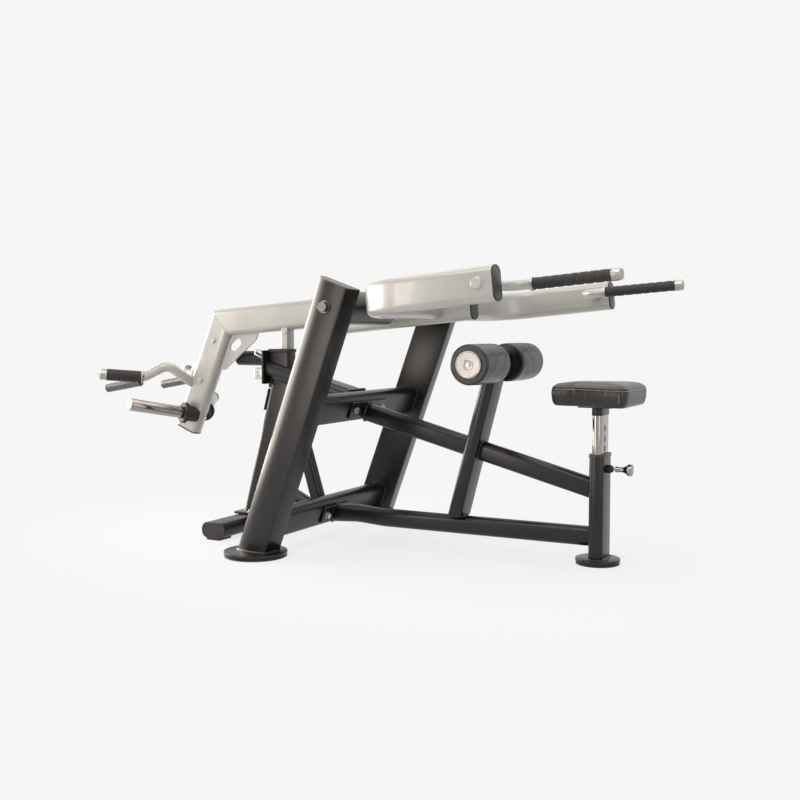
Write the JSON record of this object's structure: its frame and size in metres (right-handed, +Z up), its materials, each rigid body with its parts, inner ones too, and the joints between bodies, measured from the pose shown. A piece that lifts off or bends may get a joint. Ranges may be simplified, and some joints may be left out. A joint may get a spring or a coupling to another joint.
{
  "type": "plate-loaded triceps machine",
  "caption": "Plate-loaded seated dip lever on a leaning twin-upright frame, with grips in front, plate horns behind, padded thigh rollers and a height-adjustable seat.",
  "frame": {"origin": "centre of the underside of the seat tube's floor pad, on the floor and on the centre plane", "axes": "+X from the plate horns towards the seat, +Y across the machine to the right of a user who sits facing the horns, +Z up"},
  "size_m": [2.175, 1.224, 0.9683],
  "materials": {
    "black_paint": "gloss powder coat",
    "silver_paint": "warm silver powder coat",
    "chrome": "polished plating",
    "zinc": "bright zinc",
    "rubber": "moulded, matt",
    "black_plastic": "moulded, satin",
    "black_vinyl": "padded vinyl, semi-gloss"
  },
  "bodies": {
    "frame": {"floor_pad_left": "rubber", "floor_pad_right": "rubber", "floor_pad_seat": "rubber", "head_link": "black_paint", "low_brace": "black_paint", "lower_cross_member": "black_paint", "lower_leg": "black_paint", "pivot_cover_left": "black_paint", "pivot_cover_right": "black_paint", "pivot_shaft": "zinc", "rear_column": "black_paint", "rear_foot_bar": "black_paint", "rear_foot_left": "rubber", "rear_foot_right": "rubber", "roller_axle": "zinc", "roller_post": "black_paint", "seat_tube": "black_paint", "seat_tube_bush": "black_plastic", "steep_brace": "black_paint", "stop_head": "black_paint", "stop_pad": "rubber", "upper_cross_member": "black_paint", "upper_leg_front": "black_paint", "upper_leg_rear": "black_paint", "upright_cap_left": "black_plastic", "upright_cap_right": "black_plastic", "upright_left": "black_paint", "upright_right": "black_paint"},
    "lever": {"hub_tube": "silver_paint", "pivot_bearing_left": "zinc", "pivot_bearing_right": "zinc", "rear_beam": "silver_paint", "drop_leg": "silver_paint", "front_beam": "silver_paint", "yoke_left": "silver_paint", "yoke_right": "silver_paint", "arm_cap_left": "black_plastic", "arm_cap_right": "black_plastic", "beam_cap": "black_plastic", "drop_leg_cap": "black_plastic", "front_handle_left": "silver_paint", "front_handle_right": "silver_paint", "front_grip_left": "rubber", "front_grip_right": "rubber", "rear_handle_left": "silver_paint", "rear_handle_right": "silver_paint", "rear_grip_left": "rubber", "rear_grip_right": "rubber", "plate_horn_left": "chrome", "plate_horn_right": "chrome", "horn_ring_left": "rubber", "horn_ring_right": "rubber", "gusset_plate": "silver_paint", "stop_foot": "silver_paint"},
    "seat": {"seat_post": "chrome", "seat_mount": "black_paint", "seat_pad": "black_vinyl"},
    "pull_pin": {"pull_pin": "chrome"},
    "roller_left": {"roller_left": "black_vinyl"},
    "roller_right": {"roller_right": "black_vinyl"}
  },
  "joints": [
    {"name": "lever_pivot", "type": "hinge", "parent": "frame", "child": "lever", "pos_m": [-0.783, 0, 0.855], "axis": [0, 1, 0], "range_deg": [0, 35]},
    {"name": "seat_slide", "type": "slide", "parent": "frame", "child": "seat", "axis": [0, 0, 1], "range_m": [-0.101, 0.101]},
    {"name": "pin_slide", "type": "slide", "parent": "frame", "child": "pull_pin", "axis": [1, 0, 0], "range_m": [-0.008, 0.01], "stiffness_N_per_m": 400},
    {"name": "roller_left_spin", "type": "hinge", "parent": "frame", "child": "roller_left", "pos_m": [-0.358, -0.1615, 0.667], "axis": [0, 1, 0], "continuous": true},
    {"name": "roller_right_spin", "type": "hinge", "parent": "frame", "child": "roller_right", "pos_m": [-0.358, 0.1615, 0.667], "axis": [0, 1, 0], "continuous": true}
  ]
}
